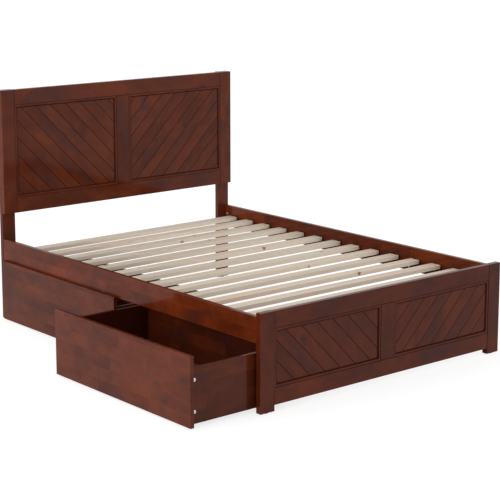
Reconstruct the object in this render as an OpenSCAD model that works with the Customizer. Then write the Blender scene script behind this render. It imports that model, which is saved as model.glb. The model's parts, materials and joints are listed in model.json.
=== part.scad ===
// Platform bed with a chevron panelled headboard and footboard, a slatted deck
// and two rolling drawers on its left side. +Z is up, +Y points to the headboard,
// and the origin is on the floor at the middle of the bed frame.

/* [Mattress bay] */
// Width of the mattress
mattress_w = 1372; // [900:1:1930]
// Length of the mattress
mattress_l = 1905; // [1700:1:2130]
// Free width on each side of the mattress
side_clear = 5.4; // [2:0.1:20]
// Free length at each end of the mattress
end_clear = 12.5; // [5:0.1:30]

/* [Side rails] */
// Thickness of a side rail
rail_t = 20; // [16:0.5:30]
// Height of a side rail
rail_h = 110; // [90:1:160]
// Height of a side rail's lower edge above the floor
rail_z = 293; // [260:1:360]
// How far the legs stand proud of the rails' outer faces
leg_proud = 2; // [0.5:0.5:10]

/* [Headboard] */
// Height of the headboard
head_h = 1137.5; // [900:0.5:1400]
// Height of the face frame's lower edge
head_z = 529.5; // [470:0.5:620]
// Width of the headboard legs and outer stiles
head_stile_w = 73; // [55:0.5:110]
// Height of the face frame's top and bottom rails
head_rail_h = 75.5; // [50:0.5:110]
// Width of the centre stile
head_centre_w = 76.5; // [50:0.5:110]
// Thickness of the headboard legs
head_leg_t = 22.6; // [18:0.1:40]
// Thickness of the face frame
head_frame_t = 23; // [20:0.5:40]

/* [Footboard] */
// Height of the footboard
foot_h = 421; // [380:1:600]
// Width of the footboard legs
foot_leg_w = 74.5; // [55:0.5:110]
// Thickness of the footboard legs
foot_leg_t = 29; // [26:0.5:50]
// Thickness of the footboard rails and centre stile
foot_frame_t = 23; // [20:0.5:28]
// How far the footboard rails sit behind the legs' front faces
foot_setback = 1; // [0.5:0.5:3]
// Height of the footboard rails
foot_rail_h = 73; // [50:0.5:90]
// Height of the bottom rail above the floor
foot_z = 28.5; // [15:0.5:60]
// Width of the centre stile
foot_centre_w = 82; // [50:0.5:110]

/* [Panels] */
// Thickness of a panel
panel_t = 10; // [8:0.5:12]
// How far a panel's face lies behind the frame's face
panel_recess = 6.5; // [4:0.5:9]
// Width of one diagonal plank, measured across it
plank_w = 60.8; // [40:0.1:90]
// Height at which a groove would meet the bed's middle plane
groove_datum = 17; // [0:1:80]
// Depth of a V groove between planks
groove_d = 1.5; // [1:0.5:4]
// How far a panel's edge enters the frame
panel_tongue = 7.5; // [5:0.5:10]
// Width of the mitred moulding around a panel
moulding_w = 15; // [12:0.5:22]
// Width of the moulding's flat face
moulding_flat = 10; // [5:0.5:11]
// Height of the moulding at the frame
moulding_h = 5.5; // [3.5:0.5:8]
// Height of the moulding at its inner edge
moulding_lip = 1.5; // [1:0.5:3]

/* [Joinery] */
// Length of a tenon
tenon_l = 20; // [12:1:30]
// Thickness of a tenon
tenon_t = 8; // [6:0.5:10]
// Shoulder above and below a tenon
tenon_shoulder = 13; // [10.5:0.5:18]
// Glue gap around tongues, tenons and mouldings
glue_gap = 0.2; // [0.1:0.05:0.4]

/* [Slats] */
// Number of slats
slat_count = 14; // [14:1:14]
// Width of a slat
slat_w = 57; // [40:1:90]
// Thickness of a slat
slat_t = 19; // [15:1:25]
// How far a slat's end stops short of the rail
slat_end_gap = 6.4; // [2:0.1:10]
// Distance from the headboard legs to the first slat
slat_head_gap = 52; // [20:1:90]
// Distance from the footboard legs to the last slat
slat_foot_gap = 39; // [20:1:90]
// Depth of the slats' upper faces below the rails' upper edges
slat_drop = 51; // [35:1:60]
// Width of the cleat under the slat ends
cleat_w = 24; // [22:1:40]
// Height of the cleat's lower edge above the rail's lower edge
cleat_edge = 2; // [1:1:12]
// Distance from the legs to the cleat's ends
cleat_end_gap = 40; // [32:1:80]
// Diameter of a slat peg
peg_d = 8; // [6:0.5:8]
// Length of a slat peg
peg_l = 20; // [14:1:24]

/* [Drawers] */
// Depth of a drawer from its front face to the back of its box
drawer_depth = 490; // [350:1:650]
// Gap between the footboard legs and the first drawer
drawer_foot_gap = 4; // [2:1:20]
// Gap between the two drawers
drawer_mid_gap = 5; // [3:1:20]
// Gap between the second drawer and the headboard legs
drawer_head_gap = 15; // [3:1:40]
// Thickness of a drawer front
front_t = 19; // [16:1:25]
// Gap between a closed front and the rail
front_gap = 1; // [0.5:0.5:4]
// How far a drawer front rises over the rail's lower edge
front_lap = 6.5; // [2:0.5:20]
// Height of a front's lower edge above the floor
front_z = 7.5; // [4:0.5:20]
// How far a front reaches past its box at each end
front_over = 11.5; // [4:0.5:20]
// Height of a box's lower edge above the floor
box_z = 19; // [12:0.5:26]
// Free height between a drawer box and the rail's lower edge
box_clear = 44; // [10:1:100]
// Thickness of a box's sides and back
box_t = 15; // [14:0.5:20]
// Thickness of a drawer's bottom
bottom_t = 9; // [5:0.5:12]
// How far the bottom enters the sides
bottom_tongue = 6; // [3:0.5:8]
// How far the foot-end drawer stands open
open_travel = 311.5; // [0:0.5:470]

/* [Wheels] */
// Diameter of a drawer wheel
wheel_d = 36; // [30:1:44]
// Width of a drawer wheel
wheel_w = 16; // [10:1:24]
// Diameter of a wheel pin
wheel_pin_d = 5; // [4:0.5:8]
// Radial play between a wheel and its pin
wheel_play = 0.08; // [0.03:0.01:0.1]
// Distance from a wheel to the box's side
wheel_side_gap = 95; // [60:1:200]
// Distance from a wheel's axis to the box's front and back
wheel_end_gap = 62; // [45:1:120]
// Thickness of a bracket's sheet steel
bracket_t = 2; // [1.5:0.5:3]

/* [Fittings] */
// Diameter of a cam
cam_d = 15; // [12:0.5:15]
// Depth of a cam
cam_l = 12; // [8:0.5:12.5]
// Distance from a rail's end to its cams' centres
rail_cam_back = 19; // [15:0.5:24]
// Distance from a box side's end to its cams' centres
box_cam_back = 10; // [9:0.5:20]
// Diameter of a cam bolt
cam_bolt_d = 6; // [5:0.5:8]
// Depth of a cam bolt in the board that it draws in
cam_bolt_in = 11; // [8:0.5:14]
// Distance between the two cams at a rail's end
rail_cam_pitch = 22; // [17:1:60]
// Distance from a box side's edges to its cams' centres
box_cam_inset = 50; // [20:1:70]
// Diameter of a wood screw's shank
screw_d = 4.5; // [3.5:0.5:5]
// Length of a wood screw
screw_l = 36; // [32:1:38]
// Gap around fittings in their holes
fitting_gap = 0.1; // [0.05:0.05:0.2]
// Diameter of a floor glide
glide_d = 20; // [14:1:22]
// Height of a floor glide
glide_h = 3; // [2:0.5:6]

/* [Hidden] */
$fn = 48;

walnut = [0.34, 0.17, 0.13];
pale_pine = [0.84, 0.79, 0.72];
plywood = [0.46, 0.28, 0.18];
steel = [0.75, 0.75, 0.77];
nylon = [0.16, 0.16, 0.17];

// Plan of the frame
inner_w = mattress_w + 2 * side_clear;
inner_l = mattress_l + 2 * end_clear;
rail_x = inner_w / 2;
leg_x = rail_x + rail_t + leg_proud;
bed_l = foot_leg_t + inner_l + head_leg_t;
front_y = -bed_l / 2;
foot_back_y = front_y + foot_leg_t;
head_leg_y = foot_back_y + inner_l;
back_y = head_leg_y + head_leg_t;
head_frame_y = head_leg_y - head_frame_t;
foot_frame_y = front_y + foot_setback;
rail_top = rail_z + rail_h;
slat_z = rail_top - slat_drop - slat_t;
cleat_h = slat_z - rail_z - cleat_edge;
cut = 1;

// Openings of the two frames, as [half width, bottom, top]
head_open = [leg_x - head_stile_w, head_z + head_rail_h, head_h - head_rail_h];
foot_open = [leg_x - foot_leg_w, foot_z + foot_rail_h, foot_h - foot_rail_h];
head_panel_y = head_frame_y + panel_recess;
foot_panel_y = foot_frame_y + panel_recess;
groove_pitch = plank_w * sqrt(2);
slot_t = panel_t + 2 * glue_gap;
slot_d = panel_tongue + 2 * glue_gap;

// Drawers
drawer_w = (inner_l - drawer_foot_gap - drawer_mid_gap - drawer_head_gap) / 2;
drawer_y = [foot_back_y + drawer_foot_gap, foot_back_y + drawer_foot_gap + drawer_w + drawer_mid_gap];
drawer_out = [open_travel, 0];
box_x = -rail_x - rail_t - front_gap;
box_l = drawer_depth - front_t;
box_h = rail_z - box_clear - box_z;
box_w = drawer_w - 2 * front_over;
front_h = rail_z + front_lap - front_z;
bracket_gap = 3;
wheel_r = wheel_d / 2;
bottom_z = wheel_d + bracket_gap + bracket_t;
wheel_xs = [box_x + wheel_end_gap, box_x + box_l - wheel_end_gap];
wheel_ys = [front_over + wheel_side_gap, drawer_w - front_over - wheel_side_gap];

// A wood screw's countersunk head
screw_head_d = 8.5;
screw_head_h = 2.5;
cleat_screw_count = 6;
leg_screw_count = 4;
leg_screw_end = 32;
leg_screw_edge = 24;
confirmat_d = 5;
confirmat_l = 45;
confirmat_head_d = 9;
confirmat_head_h = 3;

// A board from one corner, with its size
module board(corner, size) {
    translate(corner) cube(size);
}

// A round bar from a point along an axis
module bar(from, along, len, d) {
    translate(from) orient(along) cylinder(d = d, h = len);
}

// Turns +Z to one of the six axis directions
module orient(along) {
    if (along.x > 0.5) rotate([0, 90, 0]) children();
    else if (along.x < -0.5) rotate([0, -90, 0]) children();
    else if (along.y > 0.5) rotate([-90, 0, 0]) children();
    else if (along.y < -0.5) rotate([90, 0, 0]) children();
    else if (along.z < -0.5) rotate([180, 0, 0]) children();
    else children();
}

// Mirrors to the left side of the bed when side is -1
module on_side(side) {
    if (side < 0) mirror([1, 0, 0]) children();
    else children();
}

/* Frames: every piece is drawn for the right half, +X, and mirrored */

// The slot that takes a panel's edge, in an upright at x with the opening on one side
module upright_slot(open, panel_y, x, into) {
    from_x = into > 0 ? x - cut : x - slot_d;
    board([from_x, panel_y - glue_gap, open[1] - slot_d],
          [slot_d + cut, slot_t, open[2] - open[1] + 2 * slot_d]);
}

// The slot that takes a panel's edge, in a rail whose edge is at z
module rail_slot(open, panel_y, z, into) {
    from_z = into > 0 ? z - cut : z - slot_d;
    board([-open[0] - cut, panel_y - glue_gap, from_z],
          [2 * open[0] + 2 * cut, slot_t, slot_d + cut]);
}

// The middle of the frame's thickness, where tenons lie
function tenon_y(frame_y, frame_t) = frame_y + (frame_t - tenon_t) / 2;

// A mortise for a rail's tenon in the upright whose edge is at x
module rail_mortise(x, frame_y, frame_t, z, h) {
    board([x - cut, tenon_y(frame_y, frame_t) - glue_gap, z + tenon_shoulder - glue_gap],
          [tenon_l + glue_gap + cut, tenon_t + 2 * glue_gap, h - 2 * tenon_shoulder + 2 * glue_gap]);
}

// A horizontal frame rail with a tenon at each end
module frame_rail(open, frame_y, frame_t, z, h) {
    board([-open[0], frame_y, z], [2 * open[0], frame_t, h]);
    board([-open[0] - tenon_l, tenon_y(frame_y, frame_t), z + tenon_shoulder],
          [2 * open[0] + 2 * tenon_l, tenon_t, h - 2 * tenon_shoulder]);
}

// A mortise for the centre stile's tenon, from z upwards or downwards
module centre_mortise(w, frame_y, frame_t, z, up) {
    from_z = up > 0 ? z - cut : z - tenon_l - glue_gap;
    board([-w / 2 + tenon_shoulder - glue_gap, tenon_y(frame_y, frame_t) - glue_gap, from_z],
          [w - 2 * tenon_shoulder + 2 * glue_gap, tenon_t + 2 * glue_gap, tenon_l + glue_gap + cut]);
}

// The stile between the two panels
module centre_stile(open, frame_y, frame_t, panel_y, w) {
    difference() {
        union() {
            board([-w / 2, frame_y, open[1]], [w, frame_t, open[2] - open[1]]);
            board([-w / 2 + tenon_shoulder, tenon_y(frame_y, frame_t), open[1] - tenon_l],
                  [w - 2 * tenon_shoulder, tenon_t, open[2] - open[1] + 2 * tenon_l]);
        }
        for (side = [-1, 1])
            on_side(side)
                board([w / 2 - slot_d, panel_y - glue_gap, open[1]],
                      [slot_d + cut, slot_t, open[2] - open[1]]);
    }
}

// A panel of diagonal planks that rise away from the bed's middle plane
module plank_panel(side, open, panel_y, centre_w) {
    x0 = centre_w / 2 - panel_tongue;
    x1 = open[0] + panel_tongue;
    z0 = open[1] - panel_tongue;
    z1 = open[2] + panel_tongue;
    first = ceil((z0 - x1 - groove_datum) / groove_pitch);
    last = floor((z1 - x0 - groove_datum) / groove_pitch);
    reach = 3 * (x1 - x0 + z1 - z0);
    on_side(side)
        difference() {
            board([x0, panel_y, z0], [x1 - x0, panel_t, z1 - z0]);
            for (i = [first:last])
                translate([x0, panel_y, x0 + groove_datum + i * groove_pitch])
                    rotate([0, -45, 0])
                        rotate([45, 0, 0])
                            cube([reach, groove_d * sqrt(2), groove_d * sqrt(2)], center = true);
        }
}

// One mitred stick of moulding along +X, rising to +Z, with its face to -Y
module moulding_stick(len) {
    profile = [
        [-glue_gap / 2, glue_gap],
        [-moulding_h, glue_gap],
        [-moulding_h, moulding_flat],
        [-moulding_lip, (moulding_flat + moulding_w) / 2],
        [-moulding_lip, moulding_w],
        [-glue_gap / 2, moulding_w]
    ];
    mitre = [
        [2 * glue_gap, 0], [len - 2 * glue_gap, 0],
        [len - moulding_w - 2 * glue_gap, moulding_w], [moulding_w + 2 * glue_gap, moulding_w]
    ];
    intersection() {
        rotate([90, 0, 90])
            linear_extrude(len)
                polygon(profile);
        rotate([90, 0, 0])
            linear_extrude(4 * moulding_h, center = true)
                polygon(mitre);
    }
}

// The four sticks around one panel
module moulding_frame(open, panel_y, centre_w) {
    x0 = centre_w / 2;
    w = open[0] - x0;
    h = open[2] - open[1];
    translate([x0, panel_y, open[1]]) moulding_stick(w);
    translate([x0, panel_y, open[2]]) mirror([0, 0, 1]) moulding_stick(w);
    translate([x0, panel_y, open[1]]) mirror([1, 0, 0]) rotate([0, -90, 0]) moulding_stick(h);
    translate([x0 + w, panel_y, open[1]]) rotate([0, -90, 0]) moulding_stick(h);
}

module mouldings(open, panel_y, centre_w) {
    for (side = [-1, 1])
        on_side(side) moulding_frame(open, panel_y, centre_w);
}

/* Fittings */

// A countersunk wood screw; its head's flat face is at the given point
module wood_screw(from, along) {
    translate(from)
        orient(along) {
            cylinder(d1 = screw_head_d, d2 = screw_d, h = screw_head_h);
            cylinder(d = screw_d, h = screw_l);
        }
}

// The hole for a wood screw
module screw_hole(from, along) {
    gap = 2 * fitting_gap;
    translate(from)
        orient(along) {
            cylinder(d1 = screw_head_d + gap, d2 = screw_d + gap, h = screw_head_h);
            cylinder(d = screw_d + gap, h = screw_l + fitting_gap);
            translate([0, 0, -cut]) cylinder(d = screw_head_d + gap, h = cut);
        }
}

// A cam: a slotted disc sunk in a board's face, bored for its bolt
module cam(face, into, towards) {
    slot_w = 1.6;
    slot_l = 0.6 * cam_d;
    slot_deep = 2;
    difference() {
        bar(face, into, cam_l, cam_d - 2 * fitting_gap);
        translate(face)
            orient(into)
                for (turn = [45, 135])
                    rotate(turn) cube([slot_l, slot_w, 2 * slot_deep], center = true);
        bar(face + into * cam_l / 2, towards, cam_d, cam_bolt_d + 2 * fitting_gap);
    }
}

// The holes that a cam and its bolt need; back is the distance to the other board
module cam_hole(face, into, towards, back) {
    bar(face - into * cut, into, cam_l + cut + fitting_gap, cam_d);
    bar(face + into * cam_l / 2, towards, back + cam_bolt_in + fitting_gap, cam_bolt_d + 2 * fitting_gap);
}

// A cam's bolt, from near the cam's centre into the other board
module cam_bolt(face, into, towards, back) {
    start = 2;
    bar(face + into * cam_l / 2 + towards * start, towards, back + cam_bolt_in - start, cam_bolt_d);
}

rail_cam_zs = [
    rail_z + (rail_h - rail_cam_pitch) / 2,
    rail_z + (rail_h + rail_cam_pitch) / 2
];
box_cam_zs = [box_z + box_cam_inset, box_z + box_h - box_cam_inset];

// Runs its children's kind for all cams of the right rail
module rail_cams(kind) {
    ends = [[foot_back_y + rail_cam_back, [0, -1, 0]], [head_leg_y - rail_cam_back, [0, 1, 0]]];
    for (end = ends)
        for (z = rail_cam_zs)
            cam_kind(kind, [rail_x, end[0], z], [1, 0, 0], end[1], rail_cam_back);
}

// Draws a cam, its bolt or their holes
module cam_kind(kind, face, into, towards, back) {
    if (kind == "hole") cam_hole(face, into, towards, back);
    if (kind == "fitting") {
        cam(face, into, towards);
        cam_bolt(face, into, towards, back);
    }
}

module rail_cam_fittings() {
    color(steel)
        for (side = [-1, 1])
            on_side(side) rail_cams("fitting");
}

// Positions of the screws along a cleat and up a leg
cleat_y0 = foot_back_y + cleat_end_gap;
cleat_l = inner_l - 2 * cleat_end_gap;
cleat_screw_ys = [
    for (i = [0:cleat_screw_count - 1]) cleat_y0 + cleat_l * (i + 0.5) / cleat_screw_count
];
leg_screw_zs = [
    for (i = [0:leg_screw_count - 1])
        head_z + leg_screw_end + (head_h - head_z - 2 * leg_screw_end) * i / (leg_screw_count - 1)
];
cleat_screw_z = slat_z - cleat_h / 2;
leg_screw_x = leg_x - leg_screw_edge;

module wood_screws() {
    color(steel)
        for (side = [-1, 1])
            on_side(side) {
                for (y = cleat_screw_ys)
                    wood_screw([rail_x - cleat_w, y, cleat_screw_z], [1, 0, 0]);
                for (z = leg_screw_zs)
                    wood_screw([leg_screw_x, back_y, z], [0, -1, 0]);
            }
}

// Holes for the screws of the right side
module cleat_screw_holes() {
    for (y = cleat_screw_ys)
        screw_hole([rail_x - cleat_w, y, cleat_screw_z], [1, 0, 0]);
}

module leg_screw_holes() {
    for (z = leg_screw_zs)
        screw_hole([leg_screw_x, back_y, z], [0, -1, 0]);
}

// Floor glides: a disc with a nail that enters the leg
glide_nail_d = 4;
glide_nail_l = 12;
glide_spots = [
    [leg_x - foot_leg_w / 2, front_y + foot_leg_t / 2],
    [leg_x - head_stile_w / 2, back_y - head_leg_t / 2]
];

module glide(spot) {
    translate([spot.x, spot.y, 0]) {
        cylinder(d = glide_d, h = glide_h);
        cylinder(d = glide_nail_d, h = glide_h + glide_nail_l);
    }
}

module glide_hole(spot) {
    translate([spot.x, spot.y, glide_h - cut])
        cylinder(d = glide_nail_d + 2 * fitting_gap, h = glide_nail_l + cut + fitting_gap);
}

module floor_glides() {
    color(nylon)
        for (side = [-1, 1])
            on_side(side)
                for (spot = glide_spots)
                    glide(spot);
}

/* Headboard */

module headboard_leg(side) {
    color(walnut)
        on_side(side)
            difference() {
                board([leg_x - head_stile_w, head_leg_y, glide_h],
                      [head_stile_w, head_leg_t, head_h - glide_h]);
                rail_cams("hole");
                leg_screw_holes();
                glide_hole(glide_spots[1]);
            }
}

module headboard_stile(side) {
    color(walnut)
        on_side(side)
            difference() {
                board([head_open[0], head_frame_y, head_z], [head_stile_w, head_frame_t, head_h - head_z]);
                upright_slot(head_open, head_panel_y, head_open[0], 1);
                rail_mortise(head_open[0], head_frame_y, head_frame_t, head_z, head_rail_h);
                rail_mortise(head_open[0], head_frame_y, head_frame_t, head_open[2], head_rail_h);
                leg_screw_holes();
            }
}

module headboard_centre_stile() {
    color(walnut) centre_stile(head_open, head_frame_y, head_frame_t, head_panel_y, head_centre_w);
}

module headboard_top_rail() {
    color(walnut)
        difference() {
            frame_rail(head_open, head_frame_y, head_frame_t, head_open[2], head_rail_h);
            rail_slot(head_open, head_panel_y, head_open[2], 1);
            centre_mortise(head_centre_w, head_frame_y, head_frame_t, head_open[2], 1);
        }
}

module headboard_bottom_rail() {
    color(walnut)
        difference() {
            frame_rail(head_open, head_frame_y, head_frame_t, head_z, head_rail_h);
            rail_slot(head_open, head_panel_y, head_open[1], -1);
            centre_mortise(head_centre_w, head_frame_y, head_frame_t, head_open[1], -1);
        }
}

module headboard_panel(side) {
    color(walnut) plank_panel(side, head_open, head_panel_y, head_centre_w);
}

module headboard_mouldings() {
    color(walnut) mouldings(head_open, head_panel_y, head_centre_w);
}

/* Footboard */

module footboard_leg(side) {
    color(walnut)
        on_side(side)
            difference() {
                board([foot_open[0], front_y, glide_h], [foot_leg_w, foot_leg_t, foot_h - glide_h]);
                upright_slot(foot_open, foot_panel_y, foot_open[0], 1);
                rail_mortise(foot_open[0], foot_frame_y, foot_frame_t, foot_z, foot_rail_h);
                rail_mortise(foot_open[0], foot_frame_y, foot_frame_t, foot_open[2], foot_rail_h);
                rail_cams("hole");
                glide_hole(glide_spots[0]);
            }
}

module footboard_centre_stile() {
    color(walnut) centre_stile(foot_open, foot_frame_y, foot_frame_t, foot_panel_y, foot_centre_w);
}

module footboard_top_rail() {
    color(walnut)
        difference() {
            frame_rail(foot_open, foot_frame_y, foot_frame_t, foot_open[2], foot_rail_h);
            rail_slot(foot_open, foot_panel_y, foot_open[2], 1);
            centre_mortise(foot_centre_w, foot_frame_y, foot_frame_t, foot_open[2], 1);
        }
}

module footboard_bottom_rail() {
    color(walnut)
        difference() {
            frame_rail(foot_open, foot_frame_y, foot_frame_t, foot_z, foot_rail_h);
            rail_slot(foot_open, foot_panel_y, foot_open[1], -1);
            centre_mortise(foot_centre_w, foot_frame_y, foot_frame_t, foot_open[1], -1);
        }
}

module footboard_panel(side) {
    color(walnut) plank_panel(side, foot_open, foot_panel_y, foot_centre_w);
}

module footboard_mouldings() {
    color(walnut) mouldings(foot_open, foot_panel_y, foot_centre_w);
}

/* Rails, cleats and slats */

module side_rail(side) {
    color(walnut)
        on_side(side)
            difference() {
                board([rail_x, foot_back_y, rail_z], [rail_t, inner_l, rail_h]);
                rail_cams("hole");
                cleat_screw_holes();
            }
}

slat_x = rail_x - slat_end_gap;
peg_edge = 6;
peg_x = slat_x - peg_edge - peg_d / 2;
slat_pitch = (inner_l - slat_head_gap - slat_foot_gap - slat_w) / (slat_count - 1);
function slat_y(i) = head_leg_y - slat_head_gap - slat_w / 2 - (i - 1) * slat_pitch;

module peg_hole(i) {
    translate([peg_x, slat_y(i), slat_z - peg_l / 2 - fitting_gap])
        cylinder(d = peg_d + 2 * fitting_gap, h = peg_l + 2 * fitting_gap);
}

module slat_cleat(side) {
    color(walnut)
        on_side(side)
            difference() {
                board([rail_x - cleat_w, cleat_y0, rail_z + cleat_edge], [cleat_w, cleat_l, cleat_h]);
                cleat_screw_holes();
                for (i = [1:slat_count]) peg_hole(i);
            }
}

// Slat number i, counted from the headboard
module slat(i) {
    color(pale_pine)
        difference() {
            board([-slat_x, slat_y(i) - slat_w / 2, slat_z], [2 * slat_x, slat_w, slat_t]);
            for (side = [-1, 1])
                on_side(side) peg_hole(i);
        }
}

module slat_pegs() {
    color(pale_pine)
        for (side = [-1, 1])
            on_side(side)
                for (i = [1:slat_count])
                    translate([peg_x, slat_y(i), slat_z - peg_l / 2])
                        cylinder(d = peg_d, h = peg_l);
}

/* Drawers: which is 0 for the foot-end drawer and 1 for the head-end drawer */

module at_drawer(which) {
    translate([-drawer_out[which], drawer_y[which], 0]) children();
}

// The bottom board, and with gap the slot that takes it
module bottom_board(gap) {
    tongue = bottom_tongue + gap;
    board([box_x - tongue, front_over + box_t - tongue, bottom_z - gap],
          [box_l - box_t + 2 * tongue, box_w - 2 * box_t + 2 * tongue, bottom_t + 2 * gap]);
}

// The cams that draw the sides to the front
module box_cams(kind) {
    faces = [[front_over, [0, 1, 0]], [drawer_w - front_over, [0, -1, 0]]];
    for (face = faces)
        for (z = box_cam_zs)
            cam_kind(kind, [box_x + box_cam_back, face[0], z], face[1], [-1, 0, 0], box_cam_back);
}

// The screws that fasten the sides to the back, and with gap their holes
module back_screws(gap) {
    faces = [[front_over, [0, 1, 0]], [drawer_w - front_over, [0, -1, 0]]];
    for (face = faces)
        for (z = box_cam_zs) {
            from = [box_x + box_l - box_t / 2, face[0], z];
            bar(from, face[1], confirmat_l + gap, confirmat_d + 2 * gap);
            bar(from - face[1] * gap, face[1], confirmat_head_h + gap, confirmat_head_d + 2 * gap);
        }
}

// The four screws of each wheel bracket, and with gap their holes
bracket_screw_d = 3.5;
bracket_screw_l = 8;
bracket_screw_head_d = 6.5;
bracket_screw_head_h = 2;
bracket_l = 64;
bracket_w = wheel_w + 34;
bracket_edge = 7;

bracket_screw_xs = [
    for (x = wheel_xs, side = [-1, 1]) x + side * (bracket_l / 2 - bracket_edge)
];
bracket_screw_ys = [
    for (y = wheel_ys, side = [-1, 1]) y + side * (bracket_w / 2 - bracket_edge)
];

module bracket_screws(gap) {
    under = gap > 0 ? cut : 0;
    for (x = bracket_screw_xs)
        for (y = bracket_screw_ys)
            translate([x, y, bottom_z - bracket_t - under])
                cylinder(d = bracket_screw_d + 2 * gap, h = bracket_screw_l + 2 * gap + under);
}

// The pan heads of those screws
module bracket_screw_heads() {
    for (x = bracket_screw_xs)
        for (y = bracket_screw_ys)
            translate([x, y, bottom_z - bracket_t - bracket_screw_head_h])
                cylinder(d = bracket_screw_head_d, h = bracket_screw_head_h);
}

module drawer_front(which) {
    color(walnut)
        at_drawer(which)
            difference() {
                board([box_x - front_t, 0, front_z], [front_t, drawer_w, front_h]);
                bottom_board(glue_gap);
                box_cams("hole");
            }
}

// far is 0 for the side nearer the footboard and 1 for the other one
module drawer_side(which, far) {
    y = far > 0 ? drawer_w - front_over - box_t : front_over;
    color(walnut)
        at_drawer(which)
            difference() {
                board([box_x, y, box_z], [box_l, box_t, box_h]);
                bottom_board(glue_gap);
                box_cams("hole");
                back_screws(fitting_gap);
            }
}

module drawer_back(which) {
    color(walnut)
        at_drawer(which)
            difference() {
                board([box_x + box_l - box_t, front_over + box_t, box_z],
                      [box_t, box_w - 2 * box_t, box_h]);
                bottom_board(glue_gap);
                back_screws(fitting_gap);
            }
}

module drawer_bottom(which) {
    color(plywood)
        at_drawer(which)
            difference() {
                bottom_board(0);
                bracket_screws(fitting_gap);
            }
}

module drawer_fittings(which) {
    color(steel)
        at_drawer(which) {
            box_cams("fitting");
            back_screws(0);
            bracket_screws(0);
            bracket_screw_heads();
        }
}

// Wheel brackets: a plate with two ears that hold the pin
ear_gap = 1.5;
ear_r = 9;
ear_y = wheel_w / 2 + ear_gap;
pin_head_d = 9;
pin_head_h = 2;

module wheel_bracket() {
    plate_z = bottom_z - bracket_t;
    difference() {
        union() {
            board([-bracket_l / 2, -bracket_w / 2, plate_z], [bracket_l, bracket_w, bracket_t]);
            for (y = [-ear_y - bracket_t, ear_y]) {
                board([-ear_r, y, wheel_r], [2 * ear_r, bracket_t, plate_z - wheel_r]);
                bar([0, y, wheel_r], [0, 1, 0], bracket_t, 2 * ear_r);
            }
        }
        bar([0, -bracket_w, wheel_r], [0, 1, 0], 2 * bracket_w, wheel_pin_d + 2 * fitting_gap);
        for (dx = [-1, 1] * (bracket_l / 2 - bracket_edge))
            for (dy = [-1, 1] * (bracket_w / 2 - bracket_edge))
                translate([dx, dy, plate_z - cut])
                    cylinder(d = bracket_screw_d + 2 * fitting_gap, h = bracket_t + 2 * cut);
    }
}

module wheel_pin() {
    half = ear_y + bracket_t + ear_gap;
    bar([0, -half, wheel_r], [0, 1, 0], 2 * half, wheel_pin_d);
    for (side = [-1, 1])
        bar([0, side * (half + pin_head_h / 2) - pin_head_h / 2, wheel_r], [0, 1, 0], pin_head_h, pin_head_d);
}

module wheel() {
    r = wheel_r;
    w = wheel_w / 2;
    edge = 1.5;
    hub_r = wheel_pin_d / 2 + 4;
    rim = 4;
    web = 2.5;
    translate([0, 0, wheel_r])
        rotate([90, 0, 0])
            rotate_extrude()
                polygon([
                    [wheel_pin_d / 2 + wheel_play, -w], [hub_r, -w], [hub_r, -web], [r - rim, -web],
                    [r - rim, -w], [r - edge, -w], [r, -w + edge], [r, w - edge], [r - edge, w],
                    [r - rim, w], [r - rim, web], [hub_r, web], [hub_r, w],
                    [wheel_pin_d / 2 + wheel_play, w]
                ]);
}

module drawer_wheel_brackets(which) {
    color(steel)
        at_drawer(which)
            for (x = wheel_xs)
                for (y = wheel_ys)
                    translate([x, y, 0]) wheel_bracket();
}

module drawer_wheel_pins(which) {
    color(steel)
        at_drawer(which)
            for (x = wheel_xs)
                for (y = wheel_ys)
                    translate([x, y, 0]) wheel_pin();
}

// end is 0 for the wheels behind the front and 1 for those at the back
module drawer_wheels(which, end) {
    color(nylon)
        at_drawer(which)
            for (y = wheel_ys)
                translate([wheel_xs[end], y, 0]) wheel();
}

headboard_leg(-1);  // headboard_leg_left
headboard_leg(1);  // headboard_leg_right
headboard_stile(-1);  // headboard_stile_left
headboard_stile(1);  // headboard_stile_right
headboard_centre_stile();
headboard_top_rail();
headboard_bottom_rail();
headboard_panel(-1);  // headboard_panel_left
headboard_panel(1);  // headboard_panel_right
headboard_mouldings();
footboard_leg(-1);  // footboard_leg_left
footboard_leg(1);  // footboard_leg_right
footboard_centre_stile();
footboard_top_rail();
footboard_bottom_rail();
footboard_panel(-1);  // footboard_panel_left
footboard_panel(1);  // footboard_panel_right
footboard_mouldings();
side_rail(-1);  // side_rail_left
side_rail(1);  // side_rail_right
slat_cleat(-1);  // slat_cleat_left
slat_cleat(1);  // slat_cleat_right
slat(1);  // slat_01
slat(2);  // slat_02
slat(3);  // slat_03
slat(4);  // slat_04
slat(5);  // slat_05
slat(6);  // slat_06
slat(7);  // slat_07
slat(8);  // slat_08
slat(9);  // slat_09
slat(10);  // slat_10
slat(11);  // slat_11
slat(12);  // slat_12
slat(13);  // slat_13
slat(14);  // slat_14
slat_pegs();
rail_cam_fittings();
wood_screws();
floor_glides();
drawer_front(0);  // foot_drawer_front
drawer_side(0, 0);  // foot_drawer_side_near
drawer_side(0, 1);  // foot_drawer_side_far
drawer_back(0);  // foot_drawer_back
drawer_bottom(0);  // foot_drawer_bottom
drawer_fittings(0);  // foot_drawer_fittings
drawer_wheel_brackets(0);  // foot_drawer_wheel_brackets
drawer_wheel_pins(0);  // foot_drawer_wheel_pins
drawer_wheels(0, 0);  // foot_drawer_front_wheels
drawer_wheels(0, 1);  // foot_drawer_rear_wheels
drawer_front(1);  // head_drawer_front
drawer_side(1, 0);  // head_drawer_side_near
drawer_side(1, 1);  // head_drawer_side_far
drawer_back(1);  // head_drawer_back
drawer_bottom(1);  // head_drawer_bottom
drawer_fittings(1);  // head_drawer_fittings
drawer_wheel_brackets(1);  // head_drawer_wheel_brackets
drawer_wheel_pins(1);  // head_drawer_wheel_pins
drawer_wheels(1, 0);  // head_drawer_front_wheels
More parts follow.
